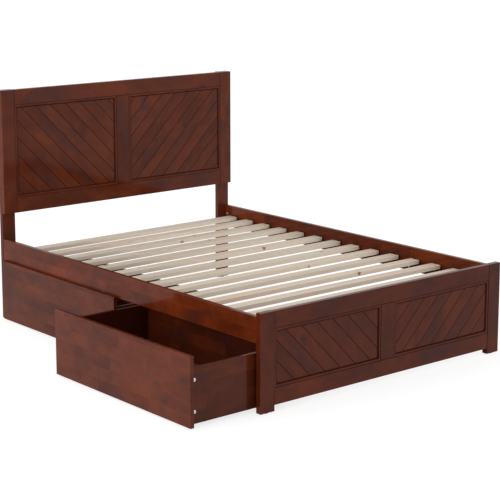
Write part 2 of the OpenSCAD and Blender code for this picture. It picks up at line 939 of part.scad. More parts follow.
drawer_wheels(1, 1);  // head_drawer_rear_wheels
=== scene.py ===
"""Finishes and eased boards for a platform bed with two rolling drawers."""

import json
from math import radians

import bmesh
import bpy
from bpy.props import (
    FloatProperty,
    FloatVectorProperty,
    IntProperty,
    PointerProperty,
)
from mathutils import Euler, Matrix, Vector


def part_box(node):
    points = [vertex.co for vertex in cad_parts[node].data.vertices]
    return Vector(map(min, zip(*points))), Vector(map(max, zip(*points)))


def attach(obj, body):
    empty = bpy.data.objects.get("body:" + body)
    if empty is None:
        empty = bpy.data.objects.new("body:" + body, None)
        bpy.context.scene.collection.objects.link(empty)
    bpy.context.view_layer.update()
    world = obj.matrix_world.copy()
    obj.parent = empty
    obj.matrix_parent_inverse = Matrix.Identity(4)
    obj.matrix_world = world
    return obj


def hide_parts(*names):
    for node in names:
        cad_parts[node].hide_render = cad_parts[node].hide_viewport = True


bl_info = {
    "name": "Platform bed with storage drawers",
    "version": (1, 0, 0),
    "blender": (4, 5, 0),
    "location": "View3D > Sidebar > Bed",
    "description": "Boards, panels, slats and fittings of a lacquered bed",
    "category": "Object",
}

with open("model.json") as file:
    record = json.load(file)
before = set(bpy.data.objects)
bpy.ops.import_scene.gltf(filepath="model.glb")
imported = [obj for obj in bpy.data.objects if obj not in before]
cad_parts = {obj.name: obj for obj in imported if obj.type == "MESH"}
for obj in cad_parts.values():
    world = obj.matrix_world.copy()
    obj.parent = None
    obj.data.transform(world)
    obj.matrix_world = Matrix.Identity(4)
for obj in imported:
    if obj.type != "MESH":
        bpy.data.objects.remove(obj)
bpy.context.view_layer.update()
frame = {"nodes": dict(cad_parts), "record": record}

X = Vector((1, 0, 0))
Y = Vector((0, 1, 0))
Z = Vector((0, 0, 1))

BODY_OF_NODE = {
    node: body
    for body, nodes in frame["record"]["behaviour"]["bodies"].items()
    for node in nodes
}
SLOT_OF_NODE = {
    row["node"]: row["material_slot"] for row in frame["record"]["subparts"]
}
DRAWERS = ("foot_drawer", "head_drawer")
SIDES = (("left", -1), ("right", 1))
SLAT_COUNT = 14

BOARD_STEP = 20.0  # metres of grain kept apart for each board
GLUE_GAP = 0.0002
CAM_DEPTH = 0.0122
SCREW_SINK = 0.0026
BACK_SCREW_HEAD = 0.0092
BACK_SCREW_SINK = 0.0031
CUT_REACH = 1e-7  # how near a point counts as lying on a cutting plane


# ---------------------------------------------------------------- properties


def length(name, description, default, low=0.0, high=0.2):
    """A property for a size in metres."""
    return FloatProperty(
        name=name,
        description=description,
        default=default,
        min=low,
        max=high,
        subtype="DISTANCE",
        unit="LENGTH",
        precision=4,
    )


def colour(name, description, default):
    """A property for a finish's colour."""
    return FloatVectorProperty(
        name=name,
        description=description,
        default=default,
        size=3,
        min=0.0,
        max=1.0,
        subtype="COLOR",
    )


class BedSizes(bpy.types.PropertyGroup):
    """Sizes of edges, grooves and joints"""

    board_edge: length("Board edge", "Rounding along the stained boards", 0.0016)
    slat_edge: length("Slat edge", "Rounding along the slats", 0.0018)
    plank_pitch: length(
        "Plank pitch", "Distance between grooves, measured upright", 0.08598
    )
    groove_datum: length(
        "Groove datum", "Where a groove meets the bed's middle plane", 0.017
    )
    groove_depth: length("Groove depth", "Depth of a groove between planks", 0.0015)
    moulding_width: length("Moulding width", "Width of a panel's moulding", 0.015)
    moulding_height: length(
        "Moulding height", "Height of a moulding beside the frame", 0.0055
    )
    moulding_flat: length("Moulding flat", "Width of its flat face", 0.010)
    moulding_lip: length("Moulding lip", "Height of its inner edge", 0.0015)
    stave_width: length("Stave width", "Width of the glued staves", 0.055)
    stave_length: length(
        "Stave length", "Typical length of a stave", 0.36, 0.05, 2.0
    )
    cam_diameter: length("Cam diameter", "Hole for a cam", 0.015)
    screw_head: length("Screw head", "Hole for a countersunk screw", 0.0088)
    wheel_segments: IntProperty(
        name="Wheel segments",
        description="Steps around a drawer wheel",
        default=64,
        min=16,
        max=128,
    )


class BedColours(bpy.types.PropertyGroup):
    """Colours of the finishes"""

    stain_light: colour(
        "Stain, light", "Lighter staves under the stain", (0.136, 0.0285, 0.0082)
    )
    stain_dark: colour(
        "Stain, dark", "Darker staves under the stain", (0.060, 0.0115, 0.0046)
    )
    stain_smoke: colour(
        "Stain, knots", "Smoky patches around knots", (0.040, 0.0160, 0.0170)
    )
    # Painted shade: besides knots, stave joints, grooves and coves, this colour darkens
    # the frames' recess walls, the cleats and the drawers' insides.
    groove_stain_and_shade: colour(
        "Stain, grooves", "Stain gathered in corners", (0.034, 0.0050, 0.0014)
    )
    headboard_tint: colour("Headboard tint", "Its stain's strength", (0.90, 0.88, 0.90))
    # Painted shade: the footboard, drawer fronts and drawer sides get darker copies of
    # the stain, which stand in for dimmer light low down near the floor.
    footboard_tint_and_shade: colour("Footboard tint", "Its stain's strength", (0.68, 0.56, 0.52))
    drawer_tint_and_shade: colour("Drawer tint", "Drawer fronts' stain", (0.75, 0.67, 0.64))
    side_tint_and_shade: colour("Drawer side tint", "Drawer sides' stain", (0.60, 0.54, 0.54))
    rail_tint: colour("Rail tint", "Side rails' stain", (0.98, 0.80, 0.58))
    pine_light: colour("Pine, light", "Early wood of the slats", (0.596, 0.512, 0.412))
    pine_dark: colour("Pine, dark", "Late wood of the slats", (0.528, 0.422, 0.322))
    pine_pink: colour("Pine, pink", "Heart wood of the slats", (0.580, 0.415, 0.325))
    pine_knot: colour("Pine knot", "Small red knots", (0.25, 0.075, 0.040))
    ply_light: colour("Plywood", "Face of the drawer bottoms", (0.150, 0.050, 0.022))
    ply_dark: colour(
        "Plywood grain", "Grain of the drawer bottoms", (0.085, 0.026, 0.011)
    )
    zinc: colour("Zinc", "Cams, screws and brackets", (0.66, 0.63, 0.61))
    nylon: colour("Nylon", "Wheels and glides", (0.022, 0.022, 0.024))
    floor: colour("Floor", "The plain floor", (0.30, 0.30, 0.30))


# ------------------------------------------------------------------- shaders


class Wire:
    """A node's output that can be used in sums; each sum adds a Math node."""

    def __init__(self, graph, socket):
        self.graph = graph
        self.socket = socket

    def math(self, operation, first, second=None):
        values = {0: first} if second is None else {0: first, 1: second}
        return self.graph.add("ShaderNodeMath", {"operation": operation}, values)

    def __add__(self, other):
        return self.math("ADD", self, other)

    __radd__ = __add__

    def __mul__(self, other):
        return self.math("MULTIPLY", self, other)

    def __sub__(self, other):
        return self.math("SUBTRACT", self, other)

    def __rsub__(self, other):
        return self.math("SUBTRACT", other, self)

    def __truediv__(self, other):
        return self.math("DIVIDE", self, other)

    def floor(self):
        return self.math("FLOOR", self)

    def fraction(self):
        return self.math("FRACT", self)

    def size(self):
        return self.math("ABSOLUTE", self)


class Graph:
    """The nodes of one material."""

    def __init__(self, name):
        self.material = bpy.data.materials.new(name)
        self.material.use_nodes = True
        self.tree = self.material.node_tree
        self.tree.nodes.clear()

    def add(self, kind, settings=None, inputs=None, output=0):
        """Adds a node: its settings first, then the values or links of its sockets."""
        node = self.tree.nodes.new(kind)
        for name, value in (settings or {}).items():
            setattr(node, name, value)
        for name, value in (inputs or {}).items():
            if isinstance(value, Wire):
                self.tree.links.new(value.socket, node.inputs[name])
            else:
                node.inputs[name].default_value = value
        return Wire(self, node.outputs[output]) if node.outputs else None

    def split(self, vector):
        node = self.add("ShaderNodeSeparateXYZ", inputs={0: vector}).socket.node
        return [Wire(self, node.outputs[i]) for i in range(3)]

    def join(self, x, y, z):
        return self.add("ShaderNodeCombineXYZ", inputs={0: x, 1: y, 2: z})

    def smooth(self, value, low, high):
        """0 below low, 1 above high, with a soft step between."""
        return self.add(
            "ShaderNodeMapRange",
            {"interpolation_type": "SMOOTHSTEP"},
            {"Value": value, "From Min": low, "From Max": high},
        )

    def mix(self, amount, first, second, blend="MIX"):
        """A colour between two colours, or their blend."""
        return self.add(
            "ShaderNodeMix",
            {"data_type": "RGBA", "blend_type": blend, "clamp_factor": True},
            {0: amount, 6: opaque(first), 7: opaque(second)},
            output=2,
        )

    def noise(self, vector, detail=2.0, roughness=0.5, distortion=0.0):
        return self.add(
            "ShaderNodeTexNoise",
            {"noise_dimensions": "3D"},
            {
                "Vector": vector,
                "Scale": 1.0,
                "Detail": detail,
                "Roughness": roughness,
                "Distortion": distortion,
            },
        )

    def chance(self, x, y, z):
        """A random value that is the same wherever the three numbers are."""
        return self.add(
            "ShaderNodeTexWhiteNoise",
            {"noise_dimensions": "3D"},
            {"Vector": self.join(x, y, z)},
        )

    def finish(self, **sockets):
        """The closing shader, with its constants on its own sockets."""
        shader = self.add(
            "ShaderNodeBsdfPrincipled",
            inputs={name.replace("_", " "): value for name, value in sockets.items()},
        )
        self.add("ShaderNodeOutputMaterial", inputs={"Surface": shader})
        return self.material


def opaque(shade):
    """A colour with its alpha, or a wire as it is."""
    if isinstance(shade, Wire):
        return shade
    return (*tuple(shade)[:3], 1.0)


def scaled(graph, wires, factors):
    """Board coordinates in metres turned into pattern coordinates."""
    return graph.join(*[w * f for w, f in zip(wires, factors)])


def board_wires(graph):
    """Metres along the grain, across and through the board, and the board's number."""
    place = graph.add(
        "ShaderNodeAttribute", {"attribute_name": "grain"}, output=1
    )
    along, across, through = graph.split(place)
    number = (along / BOARD_STEP + 0.5).floor()
    return along, across, through, number


def stained_wood(name, sizes, colours, staves, tint):
    """Stained and lacquered hardwood, with or without glued staves."""
    g = Graph(name)
    along, across, through, number = board_wires(g)
    if staves:
        row = (across / sizes.stave_width).floor()
        shift = g.chance(row, number, 3.0)
        run = along / sizes.stave_length + shift * 7.0
        column = run.floor()
        tone = g.chance(row, column, number)
        a = along + g.chance(column, number, row) * 11.0
    else:
        tone = g.chance(number, 1.0, 2.0)
        a = along

    # Broad mottling, streaks and fibres, from coarse to fine
    mottle = g.noise(
        scaled(g, (a, across, through), (9.0, 14.0, 14.0)), 3.0, 0.58, 0.4
    )
    cloud = g.noise(
        scaled(g, (along, across, through), (2.6, 4.6, 4.6)), 1.0, 0.5, 0.4
    )
    bend = g.noise(scaled(g, (a, across, through), (4.0, 6.0, 6.0)), 1.0)
    lines = g.noise(
        g.join(a * 3.0, (across + bend * 0.03) * 190.0, through * 190.0), 3.0, 0.6
    )
    fibre = g.noise(scaled(g, (a, across, through), (22.0, 1100.0, 1100.0)), 2.0, 0.6)

    # Smoky patches around small knots, on a few places only
    spots = g.add(
        "ShaderNodeTexVoronoi",
        {"feature": "F1"},
        {
            "Vector": scaled(g, (a, across, through), (8.5, 15.0, 15.0)),
            "Scale": 1.0,
            "Randomness": 1.0,
        },
    )
    spot_node = spots.socket.node
    pick = g.split(Wire(g, spot_node.outputs["Color"]))[0]
    halo = (1.0 - g.smooth(spots, 0.03, 0.42)) * g.smooth(pick, 0.66, 0.74)
    core = (1.0 - g.smooth(spots, 0.02, 0.13)) * g.smooth(pick, 0.80, 0.84)

    shade = (
        0.5
        + (tone - 0.5) * (0.30 if staves else 0.14)
        + (mottle - 0.5) * (0.95 if staves else 0.80)
        + (cloud - 0.5) * 0.70
        + (lines - 0.5) * 0.20
        + (fibre - 0.5) * 0.12
    )
    base = g.mix(g.smooth(shade, 0.06, 0.94), colours.stain_dark, colours.stain_light)
    base = g.mix(halo * 0.62 * (0.6 + mottle * 0.6), base, colours.stain_smoke)
    drift = g.noise(
        scaled(g, (along + 9.0, across, through), (4.2, 7.5, 7.5)), 2.0, 0.5, 0.5
    )
    base = g.mix(g.smooth(drift, 0.50, 0.74) * 0.55, base, colours.stain_smoke)
    base = g.mix(core * 0.75, base, colours.groove_stain_and_shade)
    if staves:
        edge = ((across / sizes.stave_width).fraction() - 0.5).size()
        end = (run.fraction() - 0.5).size()
        seam = g.smooth(edge, 0.486, 0.498) * 0.14
        butt = g.smooth(end, 0.4975, 0.4995) * 0.14
        base = g.mix(seam, base, colours.groove_stain_and_shade)
        base = g.mix(butt, base, colours.groove_stain_and_shade)

    base = g.mix(1.0, base, tint, "MULTIPLY")

    # Rubbed edges are lighter. Marked faces take the dark groove colour: painted shade
    # on frame walls, cleats and drawer insides, and darker plank grooves and moulding
    # coves
    worn = g.add("ShaderNodeAttribute", {"attribute_name": "worn"}, output=2)
    rub = g.noise(scaled(g, (a, across, through), (60.0, 60.0, 60.0)), 3.0, 0.6)
    rubbed = worn * (0.25 + g.smooth(rub, 0.35, 0.75) * 0.6)
    lighter = g.mix(1.0, base, (1.75, 1.7, 1.65), "MULTIPLY")
    base = g.mix(rubbed, base, lighter)
    painted_shading_and_joints = g.add("ShaderNodeAttribute", {"attribute_name": "painted_shading_and_joints"}, output=2)
    base = g.mix(painted_shading_and_joints * 0.80, base, colours.groove_stain_and_shade)

    # A film of lacquer over shallow pores
    pores = g.smooth(fibre, 0.30, 0.44)
    peel = g.noise(scaled(g, (along, across, through), (85.0, 85.0, 85.0)), 2.0)
    height = pores * 0.35 + peel * 0.65
    bump = g.add(
        "ShaderNodeBump",
        inputs={"Strength": 0.10, "Distance": 0.0006, "Height": height},
    )
    haze = g.noise(scaled(g, (along, across, through), (9.0, 16.0, 16.0)), 3.0, 0.6)
    return g.finish(
        Base_Color=base,
        Roughness=0.16 + haze * 0.14 + rubbed * 0.15 + painted_shading_and_joints * 0.4,
        IOR=1.45,
        Specular_IOR_Level=0.04,
        Coat_Weight=0.23 - painted_shading_and_joints * 0.20,
        Coat_Roughness=0.07,
        Coat_IOR=1.5,
        Normal=bump,
    )


def pale_pine(name, colours):
    """Planed and unfinished pine, with a few small red knots."""
    g = Graph(name)
    along, across, through, number = board_wires(g)
    tone = g.chance(number, 7.0, 2.0)
    bend = g.noise(scaled(g, (along, across, through), (2.2, 9.0, 9.0)), 2.0)
    rings = g.noise(
        g.join(along * 1.3, (across + bend * 0.045) * 120.0, through * 120.0), 3.0, 0.55
    )
    fibre = g.noise(scaled(g, (along, across, through), (30.0, 1300.0, 1300.0)), 2.0)
    blush = g.noise(scaled(g, (along, across, through), (1.6, 26.0, 26.0)), 2.0, 0.5)
    spots = g.add(
        "ShaderNodeTexVoronoi",
        {"feature": "F1"},
        {
            "Vector": scaled(g, (along, across, through), (11.0, 8.0, 8.0)),
            "Scale": 1.0,
            "Randomness": 1.0,
        },
    )
    pick = g.split(Wire(g, spots.socket.node.outputs["Color"]))[0]
    chosen = g.smooth(pick, 0.50, 0.52)
    ragged = spots + (rings - 0.5) * 0.10
    knot = (1.0 - g.smooth(ragged, 0.07, 0.145)) * chosen
    stain = (1.0 - g.smooth(ragged, 0.08, 0.34)) * chosen

    late = g.smooth(rings, 0.46, 0.70) * 0.70 + (fibre - 0.5) * 0.30
    base = g.mix(late, colours.pine_light, colours.pine_dark)
    pink = g.smooth(blush + (tone - 0.5) * 0.22, 0.50, 0.72) * 0.62
    base = g.mix(pink, base, colours.pine_pink)
    base = g.mix(stain * 0.35, base, colours.pine_pink)
    base = g.mix(knot * 0.95, base, colours.pine_knot)
    shade = 0.90 + tone * 0.12
    base = g.mix(1.0, base, g.join(shade, shade, shade), "MULTIPLY")
    worn = g.add("ShaderNodeAttribute", {"attribute_name": "worn"}, output=2)
    base = g.mix(worn * 0.15, base, colours.pine_dark)
    # Painted light: the slats' long sides are made paler, as if lit nearly as brightly
    # as the tops
    painted_side_light = g.add("ShaderNodeAttribute", {"attribute_name": "painted_shading_and_joints"}, output=2)
    base = g.mix(painted_side_light, base, g.mix(1.0, base, (1.17, 1.17, 1.18), "MULTIPLY"))
    height = fibre * 0.6 + rings * 0.4
    bump = g.add(
        "ShaderNodeBump",
        inputs={"Strength": 0.22, "Distance": 0.0005, "Height": height},
    )
    return g.finish(
        Base_Color=base,
        Roughness=0.52 + fibre * 0.16 - knot * 0.12,
        IOR=1.45,
        Specular_IOR_Level=0.35,
        Normal=bump,
    )


def plywood(name, colours):
    """Stained plywood, with wide rotary-cut figure."""
    g = Graph(name)
    along, across, through, _ = board_wires(g)
    bend = g.noise(scaled(g, (along, across, through), (2.0, 5.0, 5.0)), 2.0)
    figure = g.noise(
        g.join(along * 1.5, (across + bend * 0.12) * 34.0, through * 400.0), 4.0, 0.6
    )
    fibre = g.noise(scaled(g, (along, across, through), (16.0, 700.0, 900.0)), 2.0)
    shade = g.smooth(figure, 0.35, 0.68) * 0.8 + (fibre - 0.5) * 0.4
    base = g.mix(shade, colours.ply_light, colours.ply_dark)
    # Glued plies show as bands on the edges
    ply = (through * 620.0).fraction()
    band = g.smooth((ply - 0.5).size(), 0.30, 0.42)
    worn = g.add("ShaderNodeAttribute", {"attribute_name": "worn"}, output=2)
    base = g.mix(worn * band * 0.7, base, colours.ply_dark)
    bump = g.add(
        "ShaderNodeBump",
        inputs={"Strength": 0.2, "Distance": 0.0004, "Height": fibre},
    )
    return g.finish(
        Base_Color=base,
        Roughness=0.42 + figure * 0.16,
        IOR=1.45,
        Specular_IOR_Level=0.4,
        Normal=bump,
    )


def zinc_steel(name, colours):
    """Bright zinc plating with fine brushing and a little tarnish."""
    g = Graph(name)
    place = g.add("ShaderNodeTexCoord", output=3)
    x, y, z = g.split(place)
    brush = g.noise(scaled(g, (x, y, z), (900.0, 160.0, 900.0)), 2.0)
    tarnish = g.noise(scaled(g, (x, y, z), (120.0, 120.0, 120.0)), 3.0, 0.6)
    dull = g.smooth(tarnish, 0.45, 0.75)
    base = g.mix(dull * 0.45, colours.zinc, (0.33, 0.33, 0.35))
    base = g.mix((brush - 0.3) * 0.35, base, (0.80, 0.78, 0.76))
    bump = g.add(
        "ShaderNodeBump",
        inputs={"Strength": 0.12, "Distance": 0.0002, "Height": brush},
    )
    return g.finish(
        Base_Color=base,
        Metallic=0.85,
        Roughness=0.34 + dull * 0.16 + brush * 0.08,
        Normal=bump,
    )


def black_nylon(name, colours):
    """Moulded nylon with a fine pebbled skin and scuffs."""
    g = Graph(name)
    place = g.add("ShaderNodeTexCoord", output=3)
    x, y, z = g.split(place)
    pebble = g.noise(scaled(g, (x, y, z), (1500.0, 1500.0, 1500.0)), 2.0)
    scuff = g.noise(scaled(g, (x, y, z), (260.0, 90.0, 260.0)), 4.0, 0.65)
    worn = g.smooth(scuff, 0.52, 0.78)
    base = g.mix(worn * 0.5, colours.nylon, (0.085, 0.083, 0.080))
    bump = g.add(
        "ShaderNodeBump",
        inputs={"Strength": 0.25, "Distance": 0.0003, "Height": pebble},
    )
    return g.finish(
        Base_Color=base,
        Roughness=0.38 + worn * 0.22,
        IOR=1.53,
        Normal=bump,
    )


def pale_floor(name, colours):
    """A plain floor that stays pale under the bed."""
    g = Graph(name)
    place = g.add("ShaderNodeTexCoord", output=3)
    x, y, z = g.split(place)
    grain = g.noise(scaled(g, (x, y, z), (6.0, 6.0, 6.0)), 3.0)
    base = g.mix((grain - 0.5) * 0.06, colours.floor, (0.25, 0.25, 0.25))
    return g.finish(
        Base_Color=base,
        Roughness=0.9,
        Specular_IOR_Level=0.1,
        Emission_Color=(1.0, 1.0, 1.0, 1.0),
        Emission_Strength=0.76,
    )


FINISHES = {}


def make_finishes(scene):
    """Makes each finish once."""
    sizes, colours = scene.bed_sizes, scene.bed_colours
    for finish, staves, tint in (
        ("staves", True, colours.drawer_tint_and_shade),
        ("drawer_sides", True, colours.side_tint_and_shade),
        ("side_rails", True, colours.rail_tint),
        ("headboard", False, colours.headboard_tint),
        ("footboard", False, colours.footboard_tint_and_shade),
    ):
        FINISHES[finish] = stained_wood(
            "stained_" + finish, sizes, colours, staves, tint
        )
    FINISHES["pale_pine"] = pale_pine("pale_pine", colours)
    FINISHES["plywood"] = plywood("stained_plywood", colours)
    FINISHES["zinc_steel"] = zinc_steel("zinc_steel", colours)
    FINISHES["black_nylon"] = black_nylon("black_nylon", colours)
    FINISHES["floor"] = pale_floor("pale_floor", colours)


# -------------------------------------------------------------------- pieces


def number_of(node):
    """A number for each node, so no two boards share their grain."""
    return sorted(BODY_OF_NODE).index(node) + 1


class Work:
    """A mesh being built, with the marks that the finishes read."""

    def __init__(self):
        self.bm = bmesh.new()
        self.bm.verts.layers.float_vector.new("grain")
        self.bm.faces.layers.float.new("worn")
        self.bm.faces.layers.float.new("painted_shading_and_joints")

    def mark(self, faces, layer, smooth=True):
        """Marks faces as worn, or for painted shading and dark joints."""
        key = self.bm.faces.layers.float[layer]
        for face in faces:
            face[key] = 1.0
            face.smooth = smooth

    def box(self, low, high):
        """A plain block between two corners."""
        bm = self.bm
        made = bmesh.ops.create_cube(bm, size=1.0)["verts"]
        bmesh.ops.scale(bm, vec=high - low, verts=made)
        bmesh.ops.translate(bm, vec=(low + high) / 2, verts=made)

    def ease(self, edges, width, segments=2, layer="worn"):
        """Rounds edges and marks the new faces."""
        made = bmesh.ops.bevel(
            self.bm,
            geom=list(edges),
            offset=width,
            offset_type="OFFSET",
            affect="EDGES",
            segments=segments,
            profile=0.5,
            material=-1,
            clamp_overlap=True,
        )
        self.mark(made["faces"], layer)

    def set_grain(self, verts, corner, along, across, number):
        """Writes metres along, across and through the board on its points."""
        key = self.bm.verts.layers.float_vector["grain"]
        through = along.cross(across)
        for vert in verts:
            reach = vert.co - corner
            vert[key] = (
                reach.dot(along) + number * BOARD_STEP,
                reach.dot(across),
                reach.dot(through),
            )

    def done(self, name, finish, body, nodes):
        """Turns the mesh into a piece that rides on a body and stands for nodes."""
        bmesh.ops.recalc_face_normals(self.bm, faces=self.bm.faces)
        mesh = bpy.data.meshes.new(name)
        self.bm.to_mesh(mesh)
        self.bm.free()
        mesh.materials.append(FINISHES[finish])
        piece = bpy.data.objects.new(name, mesh)
        bpy.context.scene.collection.objects.link(piece)
        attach(piece, body)
        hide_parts(*nodes)
        return piece


def bore(work, holes):
    """Cuts round holes, each given as its mouth, direction, diameter and depth."""
    cutter = bmesh.new()
    lead = 0.001
    for centre, into, diameter, depth in holes:
        turn = into.to_track_quat("Z", "Y").to_matrix().to_4x4()
        middle = centre + into * (depth - lead) / 2
        bmesh.ops.create_cone(
            cutter,
            cap_ends=True,
            segments=40,
            radius1=diameter / 2,
            radius2=diameter / 2,
            depth=depth + lead,
            matrix=Matrix.Translation(middle) @ turn,
        )
    bmesh.ops.recalc_face_normals(cutter, faces=cutter.faces)
    parts = []
    for shape in (work.bm, cutter):
        mesh = bpy.data.meshes.new("bore")
        shape.to_mesh(mesh)
        part = bpy.data.objects.new("bore", mesh)
        bpy.context.scene.collection.objects.link(part)
        parts.append(part)
    cutter.free()
    board, tool = parts
    cut = board.modifiers.new("bore", "BOOLEAN")
    cut.operation = "DIFFERENCE"
    cut.solver = "EXACT"
    cut.object = tool
    view = bpy.context.evaluated_depsgraph_get()
    bored = bpy.data.meshes.new_from_object(board.evaluated_get(view))
    work.bm.clear()
    work.bm.from_mesh(bored)
    for part in parts:
        mesh = part.data
        bpy.data.objects.remove(part)
        bpy.data.meshes.remove(mesh)
    bpy.data.meshes.remove(bored)


def paint_joint_shade(work, low, high):
    """Painted shade: edges and walls inside the frame, round its opening and where
    boards meet, are marked to take the dark groove colour; outer ones stay rubbed.
    """
    rim, facing_out = 0.003, 0.95
    worn = work.bm.faces.layers.float["worn"]
    for face in work.bm.faces:
        middle = face.calc_center_median()
        outer = min(
            middle.x - low.x, high.x - middle.x, middle.z - low.z, high.z - middle.z
        )
        if outer > rim and abs(face.normal.y) < facing_out:
            face[worn] = 0.0
            work.mark([face], "painted_shading_and_joints", face.smooth)


def upright_of(end):
    """The node at the right of an end's face frame."""
    return "headboard_stile_right" if end == "headboard" else "footboard_leg_right"


def outline_of(end):
    """The outer corners of an end's face frame."""
    low, high = (corner.copy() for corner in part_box(end + "_top_rail"))
    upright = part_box(upright_of(end))[1]
    high.x = upright.x
    low.x = -high.x
    low.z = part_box(end + "_bottom_rail")[0].z
    high.z = max(high.z, upright.z)
    return low, high


def long_way(low, high):
    """The board's two longest directions, longest first."""
    size = high - low
    order = sorted(zip(size, (X, Y, Z)), key=lambda pair: -pair[0])
    return order[0][1], order[1][1]


def make_board(
    node,
    finish,
    low=None,
    high=None,
    along=None,
    holes=(),
    edge=None,
    frame_box=None,
    facing=(),
):
    """One eased board in a node's place; the faces that look facing's ways get the mark
    for painted shading and dark joints.
    """
    sizes = bpy.context.scene.bed_sizes
    box_low, box_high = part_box(node)
    low = low or box_low
    high = high or box_high
    longest, second = long_way(low, high)
    if along is None:
        along = longest
    across = second if along == longest else longest
    work = Work()
    work.box(low, high)
    work.ease(work.bm.edges, edge or sizes.board_edge)
    if frame_box:
        paint_joint_shade(work, *frame_box)
    for face in work.bm.faces:
        if any(face.normal.dot(way) > 0.9 for way in facing):
            work.mark([face], "painted_shading_and_joints", False)
    if holes:
        bore(work, holes)
    work.set_grain(work.bm.verts, low, along, across, number_of(node))
    return work.done(
        node + "_board", finish, BODY_OF_NODE[node], [node]
    )


# ----------------------------------------------------- headboard, footboard


def opening_of(end):
    """Half width, bottom, top and half the centre stile's width of an end's opening."""
    # Rails carry tenons in their ends, so heights come from them, widths from uprights
    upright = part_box(upright_of(end))[0]
    bottom_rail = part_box(end + "_bottom_rail")[1]
    top_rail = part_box(end + "_top_rail")[0]
    centre_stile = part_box(end + "_centre_stile")[1]
    return upright.x, bottom_rail.z, top_rail.z, centre_stile.x


def planks(node, side):
    """A panel of diagonal planks with V grooves between them."""
    sizes = bpy.context.scene.bed_sizes
    low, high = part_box(node)
    pitch = sizes.plank_pitch
    near, far = sorted((abs(low.x), abs(high.x)))
    rise = Vector((side, 0, 1)).normalized()
    upward = Vector((-side, 0, 1)).normalized()
    first = int((low.z - far - sizes.groove_datum) // pitch)
    last = int((high.z - near - sizes.groove_datum) // pitch) + 1
    centre = (low + high) / 2
    work = Work()
    bm = work.bm
    for n in range(first, last + 1):
        lower = Vector((0, 0, sizes.groove_datum + n * pitch))
        upper = Vector((0, 0, sizes.groove_datum + (n + 1) * pitch))
        place = Matrix.Translation((centre.x, low.y, centre.z))
        stand = Matrix.Rotation(radians(90), 4, "X")
        spread = Matrix.Diagonal((high.x - low.x, high.z - low.z, 1, 1))
        made = bmesh.ops.create_grid(
            bm, x_segments=1, y_segments=1, size=0.5, matrix=place @ stand @ spread
        )["verts"]
        geom = cut_away(bm, flat_of(made), lower, -upward)
        geom = cut_away(bm, geom, upper, upward)
        faces = [part for part in geom if isinstance(part, bmesh.types.BMFace)]
        if not faces:
            bmesh.ops.delete(
                bm,
                geom=[p for p in geom if isinstance(p, bmesh.types.BMVert)],
                context="VERTS",
            )
            continue
        grown = bmesh.ops.extrude_face_region(bm, geom=faces)["geom"]
        back = [part for part in grown if isinstance(part, bmesh.types.BMVert)]
        bmesh.ops.translate(bm, vec=Y * (high.y - low.y), verts=back)
        front = set(faces[0].verts)
        whole = front | set(back)
        grooves = [
            edge
            for edge in faces[0].edges
            if (edge.verts[0].co - edge.verts[1].co).normalized().cross(rise).length
            < 0.01
        ]
        seen = set(bm.verts) - whole
        if grooves:
            work.ease(grooves, sizes.groove_depth, 1, "painted_shading_and_joints")
        mine = [vert for vert in bm.verts if vert not in seen]
        number = number_of(node) + 100 + 13 * (n - first)
        work.set_grain(mine, lower, rise, upward, number)
    end = node.split("_")[0]
    return work.done(
        node + "_planks", end, BODY_OF_NODE[node], [node]
    )


def flat_of(verts):
    """The points with their edges and faces."""
    edges = {edge for vert in verts for edge in vert.link_edges}
    faces = {face for vert in verts for face in vert.link_faces}
    return list(verts) + list(edges) + list(faces)


def cut_away(bm, geom, point, outward):
    """Cuts a flat shape and drops what lies beyond the plane."""
    kept = bmesh.ops.bisect_plane(
        bm,
        geom=geom,
        dist=CUT_REACH,
        plane_co=point,
        plane_no=outward,
        clear_outer=True,
    )["geom"]
    return [part for part in kept if part.is_valid]


def moulding_profile(sizes):
    """Distance from the frame and height above the panel, round the moulding."""
    top, lip, width = sizes.moulding_height, sizes.moulding_lip, sizes.moulding_width
    flat = sizes.moulding_flat
    cove = width - flat
    drop = top - lip
    bevel, corner, nose = 0.0009, 0.0005, 0.0004
    return (
        (0.0, 0.0),
        (0.0, top - bevel),
        (bevel, top),
        (flat - corner, top),
        (flat, top - corner),
        (flat + cove * 0.10, top - drop * 0.40),
        (flat + cove * 0.24, top - drop * 0.72),
        (flat + cove * 0.46, top - drop * 0.94),
        (flat + cove * 0.70, lip),
        (width - nose, lip),
        (width, lip - nose),
        (width, 0.0),
    )


def moulding(node, opening, panel_y):
    """Four mitred sticks around each of an end's two panels."""
    half, bottom, top, centre = opening
    work = Work()
    count = 0
    for side in (-1, 1):
        left, right = sorted((side * (centre + GLUE_GAP), side * (half - GLUE_GAP)))
        low, high = bottom + GLUE_GAP, top - GLUE_GAP
        for start, end, inward in (
            ((left, low), (right, low), Z),
            ((right, high), (left, high), -Z),
            ((left, high), (left, low), X),
            ((right, low), (right, high), -X),
        ):
            count += 1
            begin = Vector((start[0], panel_y, start[1]))
            finish = Vector((end[0], panel_y, end[1]))
            stick(work, begin, finish, inward, number_of(node) + 300 + 7 * count)
    end = node.split("_")[0]
    return work.done(
        node + "_sticks", end, BODY_OF_NODE[node], [node]
    )


